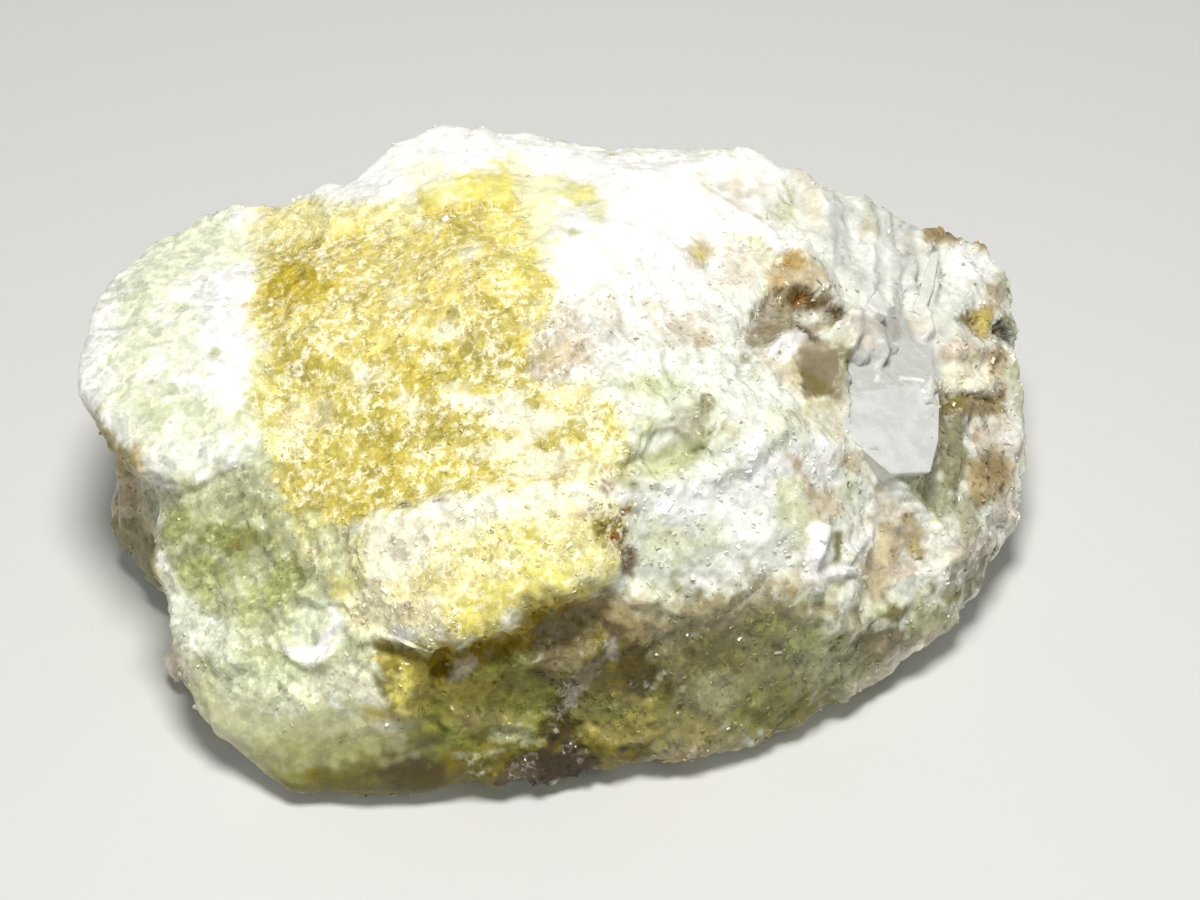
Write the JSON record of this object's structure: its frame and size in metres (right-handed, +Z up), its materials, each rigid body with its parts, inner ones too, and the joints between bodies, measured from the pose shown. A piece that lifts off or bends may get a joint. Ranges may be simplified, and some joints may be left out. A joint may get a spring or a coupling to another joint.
{
  "type": "datolite crystal",
  "caption": "Rough hand specimen of massive datolite: a broken, pale green, yellow and white stone that rests on a flat underside.",
  "frame": {"origin": "on the surface that the stone rests on, under the middle of the box that it fills", "axes": "+X along the stone's length, towards the end with the clear cleavage block; +Y towards its high back edge; +Z up from the face that it rests on"},
  "size_m": [0.0667, 0.0447, 0.0286],
  "materials": {
    "datolite": "broken, granular and partly glassy"
  },
  "bodies": {
    "root": {"datolite_crystal": "datolite"}
  },
  "joints": []
}
